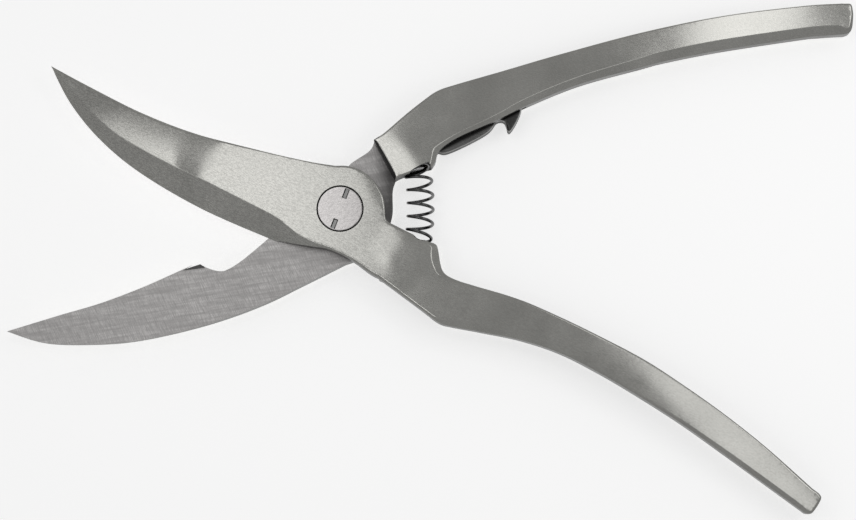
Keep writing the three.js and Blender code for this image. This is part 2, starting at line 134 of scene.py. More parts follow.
# ---------- outlines ----------
# Each point is (x, y, inset of the ridge from the outline). A list is one smooth stretch.
UPPER_OUTER = [(9.2, 19.2, 0.3), (16.4, 25.8, 0.3), (22, 30.4, 0.3), (26.4, 33.5, 0.3), (31.7, 35.4, 0.3),
               (44.3, 39.1, 0.3), (61.1, 44.1, 0.3), (83.5, 50.1, 0.25), (106, 54.7, 0.2),
               (128.5, 57.6, 0.2), (139.6, 58.4, 0.25)]
UPPER_END = [(139.6, 58.4, 0.25), (141.8, 58.3, 0.4), (142.5, 57.6, 0.4), (142.6, 56, 0.4),
             (142.5, 53.5, 0.5), (142.2, 50.9, 1), (141.4, 49.7, 1.8), (139.6, 49.4, 2.3)]
UPPER_INNER = [(139.6, 49.4, 2.3), (134, 49, 2.4), (128.3, 48.4, 2.4), (105.8, 44.9, 2.5), (90, 41.7, 2.5),
               (83.4, 39.9, 2.3), (66.6, 35.2, 1.8), (52.6, 29.5, 1.7), (43.4, 24.9, 1.3), (33.2, 20.3, 1),
               (28.8, 17.6, 1.1)]
UPPER_BOSS_SIDE = [(28.8, 17.6, 1.1), (27, 15.9, 1.4), (26.5, 14.2, 1.4), (26.1, 12.9, 1.3),
                   (25.2, 11.55, 0.8)]
UPPER_BOSS_FACE = [(25.2, 11.55, 0.8), (21.6, 10.5, 0.3), (19, 9.75, 0.3), (16.8, 9, 0.3),
                   (15.2, 8.15, 0.5)]
SHOULDER = [(15.2, 8.15, 0.9), (9.2, 19.2, 0.7)]
REAR_PLATE = [(15.2, 8.15, 0.5), (14.6, 6.4, 0.4), (14.4, 4.9, 0.4), (14.4, 3.1, 0.4), (14.3, -1.6, 0.4),
              (12.6, -6.6, 0.4), (9.4, -10.6, 0.4), (5.2, -13.4, 0.4), (1.3, -14.7, 0.4)]
NOTCHED_SPINE = [(1.3, -14.7, 0.4), (-9.7, -20.3, 0.5), (-22, -26.3, 0.6), (-37.9, -32, 0.6),
                 (-54.9, -35.95, 0.6), (-68, -37.1, 0.5), (-81, -36.7, 0.4), (-91.5, -33.5, 0.05)]
NOTCHED_EDGE = [(-91.5, -33.5, 0.05), (-77, -29, 2.8), (-66.1, -25.75, 4.8), (-54, -21.1, 6.4),
                (-40, -14.8, 7), (-24, -8.4, 6.4), (-14, -3, 3), (-11.8, 1, 0.5)]
REAR_BACK = [(-11.8, 1, 0.5), (-9.6, 6.8, 0.4), (-4, 11, 0.4), (1.2, 11.9, 0.6), (3.1, 13.6, 0.6),
             (7.9, 16.9, 0.4), (9.2, 19.2, 0.3)]
BONE_NOTCH = [(-39.2, -14.5), (-36.7, -15.9), (-33.4, -16.8), (-31, -16.3), (-26.6, -13.4), (-19.6, -7.4),
              (-17, -5)]

LOWER_BOSS_NEAR = [(13.4, -3.2, 0.4), (16.9, -4.95, 0.4)]
LOWER_BOSS_FACE = [(16.9, -4.95, 0.4), (18.2, -5.6, 0.4), (24.9, -8.8, 0.8)]
LOWER_INNER = [(24.9, -8.8, 0.8), (26.6, -9.6, 1.6), (27.2, -12, 2.1), (27.6, -14.6, 2.1),
               (28.6, -17.2, 1.5), (31.6, -19.1, 0.7), (38.5, -21.3, 0.3), (49.5, -24.7, 0.3),
               (60.5, -29.5, 0.3), (71.5, -34.9, 0.3), (83.7, -41.4, 0.3), (94.6, -48.6, 0.3),
               (105.4, -56.4, 0.3), (116.2, -65.1, 0.3), (126.6, -74.5, 0.4), (130, -77.7, 0.4)]
LOWER_END = [(130, -77.7, 0.4), (130.6, -79, 0.4), (129.9, -80.7, 0.4), (128.7, -82.5, 0.5),
             (127.7, -83.5, 0.6), (126.3, -83.4, 0.9)]
LOWER_OUTER = [(126.3, -83.4, 0.9), (114.6, -74.8, 1), (104, -67, 0.9), (93.1, -59.2, 0.6), (82, -52, 0.35),
               (71.3, -45.6, 0.3), (60.4, -40, 0.3), (49.5, -36.3, 0.8), (38.5, -34, 1.5),
               (30.6, -32.5, 1.5), (27, -31.4, 0.8), (22.1, -27.7, 0.5), (10.6, -19.1, 0.6)]
FRONT_NECK = [(10.6, -19.1, 0.6), (8.2, -17.8, 0.6), (3.4, -14.3, 0.5), (-2.9, -11.3, 0.5), (-7, -10.5, 1)]
PLAIN_EDGE = [(-7, -10.5, 1), (-12, -9.6, 2.5), (-16, -8.7, 4.4), (-20.2, -7.5, 5.8), (-38.9, 0.8, 7),
              (-55.8, 10.8, 5.8), (-67.2, 20.3, 3.9), (-75.5, 30.5, 2.9), (-80.9, 40.8, 0.05)]
PLAIN_SPINE = [(-80.9, 40.8, 0.05), (-70.5, 35.1, 0.5), (-55.6, 27.45, 0.5), (-38.9, 20.85, 0.35),
               (-22.3, 16.35, 0.2), (-9, 13.25, 0.2), (-1.5, 12, 0.3)]
FRONT_DISC = [(-1.5, 12, 0.3), (2.6, 11.9, 0.35), (6.5, 10.5, 0.35), (9.7, 7.8, 0.35), (11.8, 4.1, 0.35),
              (12.5, 0, 0.35), (12.7, -2.2, 0.35), (13.4, -3.2, 0.4)]


def curve(points, step=STEP):
    """A smooth curve through the points, without its last point."""
    p = np.array(points, float)
    ends = np.vstack([p[:1], p, p[-1:]])
    pieces = []
    for a, b, c, d in zip(ends, ends[1:], ends[2:], ends[3:]):
        count = max(1, math.ceil(np.linalg.norm((c - b)[:2]) / step))
        t = (np.arange(count) / count)[:, None]
        bend = 2 * a - 5 * b + 4 * c - d
        twist = 3 * b - a - 3 * c + d
        pieces.append(0.5 * (2 * b + t * (c - a) + t**2 * bend + t**3 * twist))
    return np.vstack(pieces)


def closed(*stretches, step=STEP):
    """One closed loop of stretches, anticlockwise."""
    loop = np.vstack([curve(stretch, step) for stretch in stretches])
    x, y = loop[:, 0], loop[:, 1]
    area = np.sum(x * np.roll(y, -1) - np.roll(x, -1) * y)
    return loop if area > 0 else loop[::-1]


def cornered(smooth, corners, step=STEP):
    """A closed loop of one smooth stretch and straight lines back through the corners."""
    stops = [smooth[-1], *corners, smooth[0]]
    return closed(smooth, *([a, b] for a, b in zip(stops, stops[1:])), step=step)


def inward(loop, spread):
    """Directions into the loop, averaged along it so that they turn gently at a corner."""
    ahead = np.roll(loop, -1, 0)[:, :2] - loop[:, :2]
    length = np.linalg.norm(ahead, axis=1)
    normal = np.c_[-ahead[:, 1], ahead[:, 0]] / length[:, None]
    place = np.cumsum(length) - length / 2
    corner = np.cumsum(length) - length
    total = length.sum()
    apart = np.abs(corner[:, None] - place[None, :])
    apart = np.minimum(apart, total - apart)
    weight = np.exp(-0.5 * (apart / spread) ** 2) * length[None, :]
    return (weight @ normal) / weight.sum(1)[:, None]


def distance(points, loop):
    """Distance from each point to the nearest of the loop's points."""
    gaps = points[:, None, :2] - loop[None, :, :2]
    return np.sqrt((gaps**2).sum(2)).min(1)


def is_inside(points, loop):
    x, y = points[:, 0], points[:, 1]
    found = np.zeros(len(points), bool)
    for (ax, ay), (bx, by) in zip(loop[:, :2], np.roll(loop, -1, 0)[:, :2]):
        crosses = (ay > y) != (by > y)
        if crosses.any():
            found ^= crosses & (x < (bx - ax) * (y - ay) / (by - ay + 1e-30) + ax)
    return found


def smoothstep(low, high, value):
    t = np.clip((np.asarray(value, float) - low) / (high - low), 0, 1)
    return t * t * (3 - 2 * t)


def ring_quads(rings, count):
    """Quads between rings of count points, one ring after another."""
    quads = []
    for k in range(rings - 1):
        for i in range(count):
            j = (i + 1) % count
            quads.append([k * count + i, k * count + j, (k + 1) * count + j, (k + 1) * count + i])
    return quads


def turns(sides):
    """The angles of a regular ring of points."""
    return np.arange(sides) * 2 * math.pi / sides


def level_face(z):
    """A face at one height."""
    return lambda flat: np.full(len(flat), z)


# ---------- bevels ----------
# The lever's stamped side, as (share of the inset, share of the height).
STAMPED = [(0, 0), (0, 0.6), (0.08, 0.7), (0.3, 0.83), (0.7, 0.95), (1, 0.99), (1.15, 1)]
SLOPE_TAN = 0.72  # steepness of every bevel
WALL_MOST = 0.95  # most of the height that a wall takes under a narrow bevel
FOOT = 0.04  # share of a bevel that holds its lower edge sharp
TOP_LEAN, BACK_LEAN = 0.15, 0.2  # how far a wall leans in for each millimetre of its height, on its own side
LEAN_TO_X = 15  # from the pivot's axis to here the lean grows; a blade's walls stand upright
LEAN_TURN = 1.5  # how soon a wall that turns to that side leans fully
LEAN_INSET = 0.3  # a wall under a narrower bevel leans less
RIDGE_R, RIDGE_STEPS = 0.35, 5  # how far a ridge's rounding reaches to each side
RIDGE_INSET = 0.9  # most of the bevel that it takes
KEEN_BLADE, KEEN_INNER = 0.45, 0.7  # it is keener on the blades and on the upper handle's inner side
BLADE_INSET = (1.2, 3.0)  # a blade's ridge turns keen over these insets
INNER_X, INNER_Y, INNER_INSET = (28, 34), 15, 0.9  # where that inner side starts


def ridge_reach(loop):
    """How far the ridge's rounding reaches at each point of an outline."""
    x, y, inset = loop.T
    on_blade = smoothstep(*BLADE_INSET, inset) * (x < 0)
    on_inner_side = smoothstep(*INNER_X, x) * (y > INNER_Y) * (inset > INNER_INSET)
    reach = RIDGE_R * (1 - KEEN_BLADE * on_blade - KEEN_INNER * on_inner_side)
    return np.minimum(reach, RIDGE_INSET * inset)


def side_profile(loop, profile, height, lean):
    """Rings up a side, each as (inset, share of the height): a leaning wall, then a bevel rounded off."""
    inset = loop[:, 2]
    if profile is not None:
        return [(inset * across, np.full(len(loop), rise)) for across, rise in profile]
    wall = np.clip(1 - inset * SLOPE_TAN / height, 0, WALL_MOST)
    leaning = lean * wall * height * np.clip(inset / LEAN_INSET, 0, 1)
    steepness = (1 - wall) / inset
    reach = ridge_reach(loop)
    rings = [(0 * wall, 0 * wall), (leaning, wall), (leaning + FOOT * inset, wall + FOOT * (1 - wall))]
    for t in np.arange(RIDGE_STEPS + 1) / RIDGE_STEPS:
        rings.append((leaning + inset - reach + 2 * reach * t, 1 - steepness * reach * (1 - t) ** 2))
    return rings


class Shell:
    """Collects triangles and quads in millimetres and turns them into one mesh object in metres."""

    def __init__(self):
        self.points = []
        self.faces = []

    def add(self, points, faces):
        start = len(self.points)
        self.points.extend(map(tuple, points))
        self.faces.extend([start + i for i in face] for face in faces)

    def terrace(self, loop, base, face_z, up, profile=None, spread=TURN_SPREAD):
        """Raises a face from a closed outline: side rings, then a triangulated face at face_z(x, y)."""
        direction = inward(loop, spread)
        turned_to_side = np.clip((-LEAN_TURN if up else LEAN_TURN) * direction[:, 1], 0, 1)
        lean = (TOP_LEAN if up else BACK_LEAN) * turned_to_side * smoothstep(0, LEAN_TO_X, loop[:, 0])
        rings = []
        for inset, rise in side_profile(loop, profile, np.abs(face_z(loop[:, :2]) - base), lean):
            flat = loop[:, :2] + direction * inset[:, None]
            rings.append(np.c_[flat, base + (face_z(flat) - base) * rise])
        quads = ring_quads(len(rings), len(loop))
        self.add(np.vstack(rings), quads if up else [quad[::-1] for quad in quads])
        self.fill(rings[-1], face_z, up)

    def fill(self, ring, face_z, up):
        """Triangulates the inside of a ring, with a grid of points where the face may curve."""
        low, high = ring.min(0), ring.max(0)
        xs = np.arange(low[0], high[0], GRID)
        ys = np.arange(low[1], high[1], GRID * GRID_ROW)
        grid = np.array([(x + (row % 2) * GRID / 2, y) for row, y in enumerate(ys) for x in xs])
        grid = grid[is_inside(grid, ring)]
        grid = grid[distance(grid, ring) > GRID_CLEAR * GRID]
        flat = np.vstack([ring[:, :2], grid])
        edges = [(i, (i + 1) % len(ring)) for i in range(len(ring))]
        points, _, triangles, *_ = delaunay_2d_cdt([Vector(p) for p in flat], edges, [], 1, 1e-5)
        flat = np.array([tuple(p) for p in points])
        middle = np.array([flat[list(t)].mean(0) for t in triangles])
        kept = [t for t, inside in zip(triangles, is_inside(middle, ring)) if inside]
        turned = [list(t) if up else list(t)[::-1] for t in kept]
        self.add(np.c_[flat, face_z(flat)], turned)

    def build(self, name, smooth_angle=SMOOTH_ANGLE):
        mesh = bpy.data.meshes.new(name)
        mesh.from_pydata([tuple(np.array(p) * MM) for p in self.points], [], self.faces)
        bm = bmesh.new()
        bm.from_mesh(mesh)
        bmesh.ops.remove_doubles(bm, verts=bm.verts, dist=MERGE * MM)
        bmesh.ops.dissolve_degenerate(bm, edges=bm.edges, dist=SLIVER * MM)
        bmesh.ops.recalc_face_normals(bm, faces=bm.faces)
        bm.to_mesh(mesh)
        bm.free()
        thing = put_in_scene(name, mesh)
        shade(thing, smooth_angle)
        return thing


def shade(thing, smooth_angle=SMOOTH_ANGLE):
    """Smooth shading with sharp edges wherever two faces meet at more than the angle."""
    bm = bmesh.new()
    bm.from_mesh(thing.data)
    limit = math.radians(smooth_angle)
    for face in bm.faces:
        face.smooth = True
    for edge in bm.edges:
        edge.smooth = len(edge.link_faces) == 2 and edge.calc_face_angle(0) < limit
    bm.to_mesh(thing.data)
    bm.free()


def apply_modifier(thing, kind, **settings):
    modifier = thing.modifiers.new(kind.lower(), kind)
    for key, value in settings.items():
        setattr(modifier, key, value)
    bpy.context.view_layer.objects.active = thing
    bpy.ops.object.modifier_apply(modifier=modifier.name)


# ---------- cutters ----------
def prism(loop, low, high):
    """A straight-sided solid over a closed outline."""
    count = len(loop)
    points = [(x, y, z) for z in (low, high) for x, y in loop[:, :2]]
    return points, [list(range(count))[::-1], list(range(count, 2 * count)), *ring_quads(2, count)]


def rod(start, end, radius, sides=96):
    """A straight round rod between two points."""
    start, end = Vector(start), Vector(end)
    turn = Vector((0, 0, 1)).rotation_difference(end - start)
    circle = [turn @ Vector((radius * math.cos(a), radius * math.sin(a), 0)) for a in turns(sides)]
    points = [tuple(middle + p) for middle in (start, end) for p in circle]
    return points, [list(range(sides))[::-1], list(range(sides, 2 * sides)), *ring_quads(2, sides)]


def pin_hole(at, radius):
    return rod((*at, BELOW), (*at, PIN_END_Z + PIN_END_SPARE), radius + PIN_SPARE, 48)


def cut(thing, *solids):
    """Takes each solid out of the piece."""
    for points, faces in solids:
        shell = Shell()
        shell.add(points, faces)
        tool = shell.build("tool")
        apply_modifier(thing, "BOOLEAN", operation="DIFFERENCE", solver="EXACT", object=tool)
        bpy.data.objects.remove(tool)
    shade(thing)
    return thing


# ---------- faces of the halves ----------
# Distances are from the pivot's axis, except the valley's, which are runs along the blade.
BLADE_FROM, BLADE_TAPER = 18, 0.012  # a blade thins from this distance, by this much a millimetre
VALLEY_FROM, VALLEY_TO, VALLEY = 36, 46, 1.05  # by this much more over this stretch
VALLEY_EDGE, VALLEY_REACH, VALLEY_WIDENS = 7, 9, 0.9  # which is longer away from the plain edge
POINT_FROM, POINT_TO, POINT = 68, 95, 0.75  # and by this much towards its point
RUN_X, RUN_Y = -0.85, 0.52  # how fast a blade's run grows with x, and with y to either side
NECK_FROM, NECK_TO, NECK_RISE, NECK_POWER = 12.4, 19.4, 0.15, 1.15  # the plate rises this much over its rim
NECK_SOFT, NECK_SIDE = 10, (1, 1.6)  # over a longer stretch away from the spring, by |y| / x
HANDLE_FROM, HANDLE_TO = 24, 75  # over which it then rises to the handle's full height
THINNED_FROM, THINNED_TO, THINNED_BY = 75, 150, 0.5  # the handles thin a little to their ends
DIP_FROM, DIP_TO, SHOULDER_DIP = 17, 26, 0.4  # a handle's face on the shearing side dips here
# Each crease: a point of it, the direction in which the face falls away, and how far its bend reaches.
NECK_CREASES = ((13.4, -3.1, 0.834, 0.55, 0.6), (17.3, -9, 0.727, -0.685, 5))
NECK_FALL, NECK_FALL_REACH = 0.036, 8
CROWN, CROWN_REACH, CROWN_X = 0.32, 7.0, (24, 60)  # the lower handle's faces fall to its outer side
ROLL, ROLL_REACH = 0.5, 9.5  # and the plain blade's face to its spine, past the valley


def from_axis(flat):
    return np.hypot(flat[:, 0], flat[:, 1])


def crown(flat):
    reach = np.clip(1 - distance(flat, curve(LOWER_OUTER)) / CROWN_REACH, 0, 1)
    return CROWN * reach**2 * smoothstep(*CROWN_X, flat[:, 0])


def blade_run(flat):
    """How far along a blade a point lies; lines of equal run slant across the blade."""
    return RUN_X * flat[:, 0] + RUN_Y * np.abs(flat[:, 1])


def valley(flat):
    """Share of the valley's depth; its slope runs out the further the point lies from the plain edge."""
    from_edge = np.clip(distance(flat, curve(PLAIN_EDGE)) - VALLEY_EDGE, 0, VALLEY_REACH)
    return smoothstep(VALLEY_FROM, VALLEY_TO + VALLEY_WIDENS * from_edge, blade_run(flat))


def roll(flat):
    reach = np.clip(1 - distance(flat, curve(PLAIN_SPINE)) / ROLL_REACH, 0, 1)
    return ROLL * reach**2 * smoothstep(VALLEY_FROM, VALLEY_TO, blade_run(flat))


def handle_height(flat):
    return HALF_T - THINNED_BY * smoothstep(THINNED_FROM, THINNED_TO, from_axis(flat))


def outer_height(flat):
    """Height of a half's outer face above the shearing plane: blade, pivot plate and handle."""
    away = from_axis(flat)
    thinned = BLADE_TAPER * np.clip(away - BLADE_FROM, 0, None) + VALLEY * valley(flat)
    blade = PLATE_T + SHEAR_GAP - thinned - POINT * smoothstep(POINT_FROM, POINT_TO, away)
    steepness = np.abs(flat[:, 1]) / np.clip(flat[:, 0], 1, None)
    neck_to = NECK_TO + NECK_SOFT * smoothstep(*NECK_SIDE, steepness)
    risen = np.clip((away - NECK_FROM) / (neck_to - NECK_FROM), 0, 1) ** NECK_POWER
    rim = PLATE_T + SHEAR_GAP + NECK_RISE * risen
    handle = rim + (handle_height(flat) - rim) * smoothstep(HANDLE_FROM, HANDLE_TO, away)
    return np.where(flat[:, 0] < 0, blade, handle)


def boss_fall(flat):
    """The lower handle's root falls away from two creases that meet in a point on the neck."""
    falls = []
    for x, y, away_x, away_y, softness in NECK_CREASES:
        past = np.clip((flat[:, 0] - x) * away_x + (flat[:, 1] - y) * away_y, 0, None)
        falls.append(np.where(past < softness, past**2 / (2 * softness), past - softness / 2))
    return NECK_FALL * np.minimum(np.maximum(*falls), NECK_FALL_REACH)


def front_face(flat):
    return MID_Z + outer_height(flat) - crown(flat) - roll(flat) - boss_fall(flat)


def back_face(flat):
    return MID_Z - outer_height(flat)


def raised_face(side):
    """A handle's face on the shearing side; it dips a little towards the shoulder."""
    def height(flat):
        dip = SHOULDER_DIP * (1 - smoothstep(DIP_FROM, DIP_TO, from_axis(flat)))
        return MID_Z + side * (handle_height(flat) - crown(flat) - dip)
    return height


# ---------- the spring's line ----------
SPRING_X, SPRING_Y, SPRING_REACH = 22.15, 1, 12.9
SPRING_BOW, SPRING_BOW_ENDS = 0.00556, 0.0000275  # the spring bows towards the pivot, more at its ends
COIL_R, WIRE_R, COILS, FIRST_TURN = 3.5, 0.45, 7.7, math.radians(110)
POINTS_PER_COIL = 44
RECESS_R, RECESS_DEPTH = 4.12, 3.8
RECESS_SPARE, RECESS_OPEN = 0.5, 4  # its cutter reaches this far past the spring, and out of the boss
PEG_R, PEG_DEPTH = 2.13, 2.8
MOUTH, MOUTH_FLOOR = [(18.6, 9.2), (19.6, 10.6), (22, 12.1), (24.3, 13)], MID_Z + 0.5
MOUTH_CORNERS = [(24.9, 12.2), (24.9, 9), (18.2, 7)]


def spring_axis(u):
    return np.array((SPRING_X - SPRING_BOW * u**2 - SPRING_BOW_ENDS * u**4, SPRING_Y + u, MID_Z))


def spring_point(t):
    """A point of the wire; its first and last half coil lie flat."""
    flat = 0.5 / COILS
    rise = min(max((t - flat) / (1 - 2 * flat), 0), 1)
    u = SPRING_REACH * (2 * rise - 1)
    centre = spring_axis(u)
    ahead = spring_axis(u + 0.01) - centre
    across = np.array((ahead[1], -ahead[0], 0)) / np.linalg.norm(ahead)
    angle = FIRST_TURN + t * COILS * 2 * math.pi
    return centre + COIL_R * (across * math.cos(angle) + np.array((0, 0, 1)) * math.sin(angle))


def spring_end(side):
    """Where the spring ends in a boss, and its direction there, into the boss."""
    end = spring_axis(side * SPRING_REACH)
    inner = spring_axis(side * (SPRING_REACH - RECESS_DEPTH))
    return end, (end - inner) / np.linalg.norm(end - inner)


def recess(side):
    end, along = spring_end(side)
    return rod(end - along * (RECESS_DEPTH + RECESS_OPEN), end + along * (WIRE_R + RECESS_SPARE), RECESS_R)


def recess_mouth():
    """The opening in the roof of the upper recess, at its front edge."""
    return prism(cornered(MOUTH, MOUTH_CORNERS), MOUTH_FLOOR, ABOVE)


def peg_hole(side):
    end, along = spring_end(side)
    return rod(end, end + along * PEG_DEPTH, PEG_R, 32)


# ---------- latch outlines ----------
LEVER = [
    [(27.2, 16.2), (28.6, 15.9), (30.5, 16.4), (34.7, 18.3), (39, 20.6), (41.2, 22.1), (42.4, 23.5)],
    [(42.4, 23.5), (43.2, 24.6), (44.3, 25), (45.4, 24.7), (46, 23.5), (46.2, 22.4)],
    [(46.2, 22.4), (46.7, 21.8), (47.5, 22.5), (48.8, 24.6), (49.8, 26.8), (50.4, 28.9)],
    [(50.4, 28.9), (49.2, 29.3), (43, 27.2), (35.5, 24), (29.4, 20.9)],
    [(29.4, 20.9), (28.3, 21.6), (26.9, 21.7), (25.2, 20.9), (24.4, 19.4), (24.6, 17.6), (25.6, 16.6),
     (27.2, 16.2)],
]
LEVER_STEP, LEVER_SPREAD, LEVER_INSET = 0.35, 0.35, 0.5
LEVER_SEAT_R, LEVER_BORE_SPARE = 2.15, 0.05  # the seat is for the latch spring, on the lever's back
GROOVE = [(23.6, 19.2), (24.3, 21.3), (26.2, 22.5), (28.6, 22.3), (35.3, 24.9), (42.6, 28), (49.2, 30.4)]
GROOVE_CORNERS = [(51.2, 29.9), (54, 20), (30, 12), (25.2, 14.6), (24.2, 16.4)]
GROOVE_HALF = 2.1
# The slot in the lower handle, as the hook meets it when the shears are shut.
SHUT_SLOT = [(37.2, 16), (37.2, 7.6), (39.2, 5.7), (41.4, 4.6), (45.6, 4.7), (50.9, 6.6), (52.3, 10.5),
             (53.3, 15), (53.5, 21)]


def latch_groove():
    return prism(cornered(GROOVE, GROOVE_CORNERS), MID_Z - GROOVE_HALF, MID_Z + GROOVE_HALF)


def catch_slot():
    c, s = math.cos(-CLOSE_ANGLE), math.sin(-CLOSE_ANGLE)
    loop = np.array([(c * x - s * y, s * x + c * y) for x, y in SHUT_SLOT])
    return prism(loop[::-1], MID_Z - GROOVE_HALF, MID_Z + GROOVE_HALF)


# ---------- the halves ----------
NOTCH_STEP = 0.4
NOTCH_CORNERS = [(-17, 2), (-39.2, -6)]
# The small facet at the notch is what this slim block takes off: x, y and height over the blade's face.
FACET = [(-44.4, -17.2, 0.1), (-38.4, -13.8, -0.5), (-37.2, -16.3, 0.1), (-38.4, -13.8, 0.6)]
LOWER_SHOULDER_END, LOWER_SHOULDER_STEPS = math.atan2(-12, 13), 12
LOWER_SHOULDER_INSETS = (0.5, 1.2)  # along the arc, and at the handle's outer edge
LOWER_SHOULDER_CORNER = (11.9, -15.6, 0.6)


def bone_notch():
    return prism(cornered(BONE_NOTCH, NOTCH_CORNERS, NOTCH_STEP), BELOW, MID_Z + PAST)


def notch_facet(level):
    return [(x, y, level + z) for x, y, z in FACET], [[0, 2, 1], [0, 1, 3], [0, 3, 2], [1, 2, 3]]


def lower_shoulder():
    """Round the rear plate from the lower boss, then across to the handle's outer edge."""
    start, end = LOWER_BOSS_FACE[0], LOWER_OUTER[-1]
    along, at_edge = LOWER_SHOULDER_INSETS
    turn = np.linspace(math.atan2(start[1], start[0]), LOWER_SHOULDER_END, LOWER_SHOULDER_STEPS)
    arc = [(SHOULDER_R * math.cos(a), SHOULDER_R * math.sin(a), along) for a in turn[1:]]
    return [start, *arc, LOWER_SHOULDER_CORNER, (*end[:2], at_edge)]


def forging(name, handle_edge, blade_edge, shoulder, level, outer_face, inner_face, up):
    """A half before its holes are cut: outer face, raised handle face and flat shearing face."""
    shell = Shell()
    shell.terrace(closed(*handle_edge, *blade_edge), level, outer_face, up)
    shell.terrace(closed(*handle_edge, shoulder), level, inner_face, not up)
    flat_part = closed(*blade_edge, shoulder[::-1])
    shell.fill(np.c_[flat_part[:, :2], np.full(len(flat_part), level)], level_face(level), not up)
    return shell.build(name)


def make_rear_half():
    handle_edge = [UPPER_OUTER, UPPER_END, UPPER_INNER, UPPER_BOSS_SIDE, UPPER_BOSS_FACE]
    blade_edge = [REAR_PLATE, NOTCHED_SPINE, NOTCHED_EDGE, REAR_BACK]
    level = MID_Z - SHEAR_GAP
    faces = {"outer_face": back_face, "inner_face": raised_face(1), "up": False}
    return cut(
        forging("rear_half_forging", handle_edge, blade_edge, SHOULDER, level, **faces),
        bone_notch(),
        notch_facet(level),
        rod((0, 0, BELOW), (0, 0, FACE_FRONT), REAR_BORE_R),
        rod((0, 0, BELOW), (0, 0, NUT_SEAT_TOP), NUT_SEAT_R),
        recess(1),
        recess_mouth(),
        peg_hole(1),
        latch_groove(),
        pin_hole(LEVER_PIN, LEVER_PIN_R),
    )


def make_front_half():
    handle_edge = [LOWER_BOSS_FACE, LOWER_INNER, LOWER_END, LOWER_OUTER]
    blade_edge = [FRONT_NECK, PLAIN_EDGE, PLAIN_SPINE, FRONT_DISC, LOWER_BOSS_NEAR]
    level = MID_Z + SHEAR_GAP
    shoulder = lower_shoulder()[::-1]
    faces = {"outer_face": front_face, "inner_face": raised_face(-1), "up": True}
    return cut(
        forging("front_half_forging", handle_edge, blade_edge, shoulder, level, **faces),
        rod((0, 0, 0), (0, 0, ABOVE), FRONT_BORE_R),
        rod((0, 0, HEAD_TOP - COUNTERBORE_DEPTH), (0, 0, ABOVE), COUNTERBORE_R, 128),
        rod((0, 0, 0), (0, 0, level + WASHER_SEAT_DEPTH), WASHER_SEAT_R),
        recess(-1),
        peg_hole(-1),
        catch_slot(),
        pin_hole(CATCH_PIN, CATCH_PIN_R),
    )


# ---------- the small pieces ----------
SCREW_RIM, SCREW_RIM_STEPS, SCREW_FLAT_IN = 0.14, 5, 0.3  # the rim's rounding, and a ring on the flat top
SCREW_HEAD_T, SHANK_R, SHANK_LOW = 1.7, 2.5, 1.5
SLOT_TURN, SLOT_LENGTH, SLOT_TO_EDGE = math.radians(69.5), 2.4, 0.3
SLOT_SIDES = ((-0.5, 0.4), (0, 0.68), (0.5, 0.87))  # height over the screw's top, and half the width there
NUT_RIM, NUT_HEAD_T, BARREL_R, BARREL_HOLE_R, BARREL_HOLE_LOW = 0.25, 2, 4, 2.53, 1.2


def tube(name, line, radius, sides=14):
    """A round wire along a line, with its ends closed."""
    line = np.array(line)
    ahead = np.gradient(line, axis=0)
    ahead /= np.linalg.norm(ahead, axis=1)[:, None]
    side = np.cross(ahead[0], (0.3, 0.2, 0.9))  # any direction across the line's start
    points = []
    for centre, forward in zip(line, ahead):
        side = side - forward * side.dot(forward)
        side /= np.linalg.norm(side)
        other = np.cross(forward, side)
        for a in turns(sides):
            points.append(centre + radius * (side * math.cos(a) + other * math.sin(a)))
    first, last = list(range(sides))[::-1], [(len(line) - 1) * sides + i for i in range(sides)]
    shell = Shell()
    shell.add(points, [*ring_quads(len(line), sides), first, last])
    return shell.build(name, smooth_angle=50)


def lathe(name, profile, sides=128):
    """A turned piece about the Z axis; the profile is (radius, height) and starts and ends on the axis."""
    points = [(radius * math.cos(a), radius * math.sin(a), z) for radius, z in profile for a in turns(sides)]
    shell = Shell()
    shell.add(points, ring_quads(len(profile), sides))
    return shell.build(name, smooth_angle=30)


def screw_slot(angle):
    """A slot that runs in from the head's rim, wider at the top."""
    along = np.array((math.cos(angle), math.sin(angle)))
    across = np.array((-along[1], along[0]))
    points = []
    for height, half_width in SLOT_SIDES:
        near, far = along * (HEAD_R - SLOT_LENGTH - half_width), along * (HEAD_R - SLOT_TO_EDGE)
        side = across * half_width
        points += [(*p, HEAD_TOP + height) for p in (near + side, near - side, far - side, far + side)]
    return points, [[3, 2, 1, 0], [8, 9, 10, 11], *ring_quads(3, 4)]


def make_screw():
    low, rim = HEAD_TOP - SCREW_HEAD_T, SCREW_RIM
    quarter = np.linspace(0, math.pi / 2, SCREW_RIM_STEPS)
    corner = [(HEAD_R - rim + rim * math.cos(a), HEAD_TOP - rim + rim * math.sin(a)) for a in quarter]
    shank = [(0, SHANK_LOW), (SHANK_R, SHANK_LOW), (SHANK_R, low), (HEAD_R, low)]
    screw = lathe("pivot_screw_head", [*shank, *corner, (HEAD_R - SCREW_FLAT_IN, HEAD_TOP), (0, HEAD_TOP)])
    return cut(screw, screw_slot(SLOT_TURN), screw_slot(SLOT_TURN + math.pi))


def make_nut():
    head = [(0, 0), (NUT_HEAD_R - NUT_RIM, 0), (NUT_HEAD_R, NUT_RIM), (NUT_HEAD_R, NUT_HEAD_T)]
    barrel = [(BARREL_R, NUT_HEAD_T), (BARREL_R, NUT_TOP), (BARREL_HOLE_R, NUT_TOP)]
    return lathe("pivot_nut_head", [*head, *barrel, (BARREL_HOLE_R, BARREL_HOLE_LOW), (0, BARREL_HOLE_LOW)])


